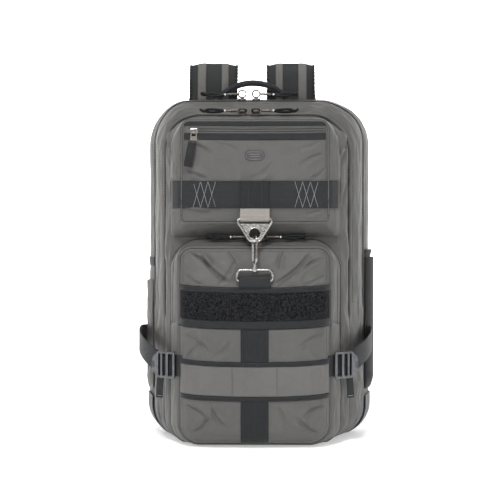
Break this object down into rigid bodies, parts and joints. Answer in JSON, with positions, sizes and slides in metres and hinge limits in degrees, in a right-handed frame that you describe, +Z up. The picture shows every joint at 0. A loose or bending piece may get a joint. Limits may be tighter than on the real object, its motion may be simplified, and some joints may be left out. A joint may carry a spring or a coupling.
{
  "type": "backpack",
  "caption": "Upright laptop backpack with zip compartments, padded straps, haul handle, two front pockets, side pockets and a snap hook clipped to a ring.",
  "frame": {"origin": "centre of the footprint of the whole pack, on the ground it stands on", "axes": "+Z up, front of the pack faces -Y, +X to the right of a person looking at the front"},
  "size_m": [0.336, 0.2554, 0.542],
  "materials": {
    "nylon": "ballistic nylon weave, matt",
    "tape": "flat woven tape, slight sheen",
    "lining": "plain polyester lining",
    "stiffener": "foamed polyethylene sheet",
    "airmesh": "spacer mesh over foam",
    "webbing": "ribbed nylon webbing",
    "zip_tape": "woven zip tape with moulded coil",
    "mesh": "open knit mesh",
    "patch": "coated nylon",
    "badge": "moulded plate",
    "taupe_webbing": "ribbed nylon webbing",
    "hook_and_loop": "loop pile",
    "lock_plastic": "moulded acetal",
    "lock_metal": "satin coated metal",
    "nickel": "satin nickel",
    "gate_steel": "satin nickel",
    "pull_cord": "webbing tail with metal link"
  },
  "bodies": {
    "pack": {"back_panel": "lining", "rear_gusset": "nylon", "base_tub": "nylon", "lower_divider": "lining", "laptop_sleeve": "lining", "frame_sheet": "stiffener", "back_pads": "airmesh", "strap_yoke": "webbing", "shoulder_pad_left": "airmesh", "shoulder_pad_right": "airmesh", "shoulder_webs": "webbing", "strap_anchors": "nylon", "main_zip_rear": "zip_tape", "mesh_pocket": "mesh", "side_pocket": "nylon", "side_tab": "webbing", "corner_patches": "patch", "compression_webs": "webbing", "base_pocket": "nylon", "base_tape": "tape", "base_strips": "webbing"},
    "mid_section": {"mid_gusset": "nylon", "mid_divider": "lining", "organizer": "lining", "mid_zip_halves": "zip_tape"},
    "front_section": {"front_cover": "nylon", "second_zip_front": "zip_tape", "upper_pocket": "nylon", "upper_zip": "zip_tape", "badge": "badge", "web_band": "webbing", "ring_loop": "taupe_webbing", "lower_pocket": "nylon", "lower_zip": "zip_tape", "velcro_panel": "hook_and_loop", "velcro_strips": "webbing", "hook_web": "webbing"},
    "haul_handle": {"haul_handle": "webbing"},
    "strap_lock_left": {"strap_lock_left": "lock_plastic"},
    "strap_lock_right": {"strap_lock_right": "lock_plastic"},
    "ladder_lock_left": {"ladder_lock_left": "lock_metal"},
    "ladder_lock_right": {"ladder_lock_right": "lock_metal"},
    "triangle_ring": {"triangle_ring": "nickel"},
    "hook_base": {"hook_base": "nickel"},
    "snap_hook": {"snap_hook": "nickel"},
    "hook_gate": {"hook_gate": "gate_steel"},
    "main_slider_left": {"main_slider_left": "nickel"},
    "main_slider_right": {"main_slider_right": "nickel"},
    "main_pull_left": {"main_pull_left": "pull_cord"},
    "main_pull_right": {"main_pull_right": "pull_cord"},
    "second_slider_left": {"second_slider_left": "nickel"},
    "second_slider_right": {"second_slider_right": "nickel"},
    "second_pull_left": {"second_pull_left": "pull_cord"},
    "second_pull_right": {"second_pull_right": "pull_cord"},
    "lower_slider_left": {"lower_slider_left": "nickel"},
    "lower_slider_right": {"lower_slider_right": "nickel"},
    "lower_pull_left": {"lower_pull_left": "pull_cord"},
    "lower_pull_right": {"lower_pull_right": "pull_cord"},
    "upper_slider": {"upper_slider": "nickel"},
    "upper_pull": {"upper_pull": "pull_cord"}
  },
  "joints": [
    {"name": "main_open", "type": "hinge", "parent": "pack", "child": "mid_section", "pos_m": [0, -0.1275, 0.163], "axis": [1, 0, 0], "range_deg": [0, 45]},
    {"name": "second_open", "type": "hinge", "parent": "mid_section", "child": "front_section", "pos_m": [0, -0.1275, 0.163], "axis": [1, 0, 0], "range_deg": [0, 40]},
    {"name": "handle_fold", "type": "hinge", "parent": "pack", "child": "haul_handle", "pos_m": [0, 0.062, 0.478], "axis": [1, 0, 0], "range_deg": [0, 55]},
    {"name": "strap_lock_left_tilt", "type": "hinge", "parent": "pack", "child": "strap_lock_left", "pos_m": [0, 0.11, 0.196], "axis": [1, 0, 0], "range_deg": [0, 40]},
    {"name": "strap_lock_right_tilt", "type": "hinge", "parent": "pack", "child": "strap_lock_right", "pos_m": [0, 0.11, 0.196], "axis": [1, 0, 0], "range_deg": [0, 40]},
    {"name": "ladder_lock_left_tilt", "type": "hinge", "parent": "pack", "child": "ladder_lock_left", "pos_m": [-0.112, -0.098, 0.111], "axis": [0, 0, 1], "range_deg": [0, 40]},
    {"name": "ladder_lock_right_tilt", "type": "hinge", "parent": "pack", "child": "ladder_lock_right", "pos_m": [0.112, -0.098, 0.111], "axis": [0, 0, -1], "range_deg": [0, 40]},
    {"name": "ring_swing", "type": "hinge", "parent": "front_section", "child": "triangle_ring", "pos_m": [0, -0.1016, 0.313], "axis": [-1, 0, 0], "range_deg": [0, 4]},
    {"name": "hook_frame_swing", "type": "hinge", "parent": "front_section", "child": "hook_base", "pos_m": [0, -0.12477, 0.22919], "axis": [1, 0, 0], "range_deg": [0, 2.5]},
    {"name": "hook_swivel", "type": "hinge", "parent": "hook_base", "child": "snap_hook", "pos_m": [0, -0.11137, 0.28295], "axis": [0, 0.2419, 0.9703], "range_deg": [-55, 12]},
    {"name": "gate_open", "type": "hinge", "parent": "snap_hook", "child": "hook_gate", "pos_m": [0.00259, -0.12323, 0.26179], "axis": [-0.9272, -0.3635, 0.0906], "range_deg": [0, 25], "stiffness_Nm_per_rad": 0.1, "springref_deg": -11.46},
    {"name": "main_zip_left", "type": "slide", "parent": "mid_section", "child": "main_slider_left", "axis": [1, 0, 0], "range_m": [-0.06, 0]},
    {"name": "main_tail_left", "type": "hinge", "parent": "main_slider_left", "child": "main_pull_left", "pos_m": [-0.019, 0.01403, 0.48588], "axis": [1, 0, 0], "range_deg": [-60, 60]},
    {"name": "main_zip_right", "type": "slide", "parent": "mid_section", "child": "main_slider_right", "axis": [1, 0, 0], "range_m": [0, 0.06]},
    {"name": "main_tail_right", "type": "hinge", "parent": "main_slider_right", "child": "main_pull_right", "pos_m": [0.001, 0.01403, 0.48588], "axis": [1, 0, 0], "range_deg": [-60, 60]},
    {"name": "second_zip_left", "type": "slide", "parent": "front_section", "child": "second_slider_left", "axis": [1, 0, 0], "range_m": [-0.055, 0]},
    {"name": "second_tail_left", "type": "hinge", "parent": "second_slider_left", "child": "second_pull_left", "pos_m": [-0.018, -0.04356, 0.46168], "axis": [1, 0, 0], "range_deg": [-100, 20]},
    {"name": "second_zip_right", "type": "slide", "parent": "front_section", "child": "second_slider_right", "axis": [1, 0, 0], "range_m": [0, 0.055]},
    {"name": "second_tail_right", "type": "hinge", "parent": "second_slider_right", "child": "second_pull_right", "pos_m": [0.001, -0.04356, 0.46168], "axis": [1, 0, 0], "range_deg": [-100, 20]},
    {"name": "lower_zip_left", "type": "slide", "parent": "front_section", "child": "lower_slider_left", "axis": [1, 0, 0], "range_m": [-0.05, 0]},
    {"name": "lower_tail_left", "type": "hinge", "parent": "lower_slider_left", "child": "lower_pull_left", "pos_m": [-0.009, -0.081, 0.28307], "axis": [1, 0, 0], "range_deg": [-30, 60]},
    {"name": "lower_zip_right", "type": "slide", "parent": "front_section", "child": "lower_slider_right", "axis": [1, 0, 0], "range_m": [0, 0.05]},
    {"name": "lower_tail_right", "type": "hinge", "parent": "lower_slider_right", "child": "lower_pull_right", "pos_m": [0.011, -0.081, 0.28307], "axis": [1, 0, 0], "range_deg": [-30, 60]},
    {"name": "upper_zip_run", "type": "slide", "parent": "front_section", "child": "upper_slider", "axis": [1, 0, 0], "range_m": [0, 0.16]},
    {"name": "upper_tail", "type": "hinge", "parent": "upper_slider", "child": "upper_pull", "pos_m": [-0.084, -0.0965, 0.4325], "axis": [-1, 0, 0], "range_deg": [0, 100]}
  ]
}
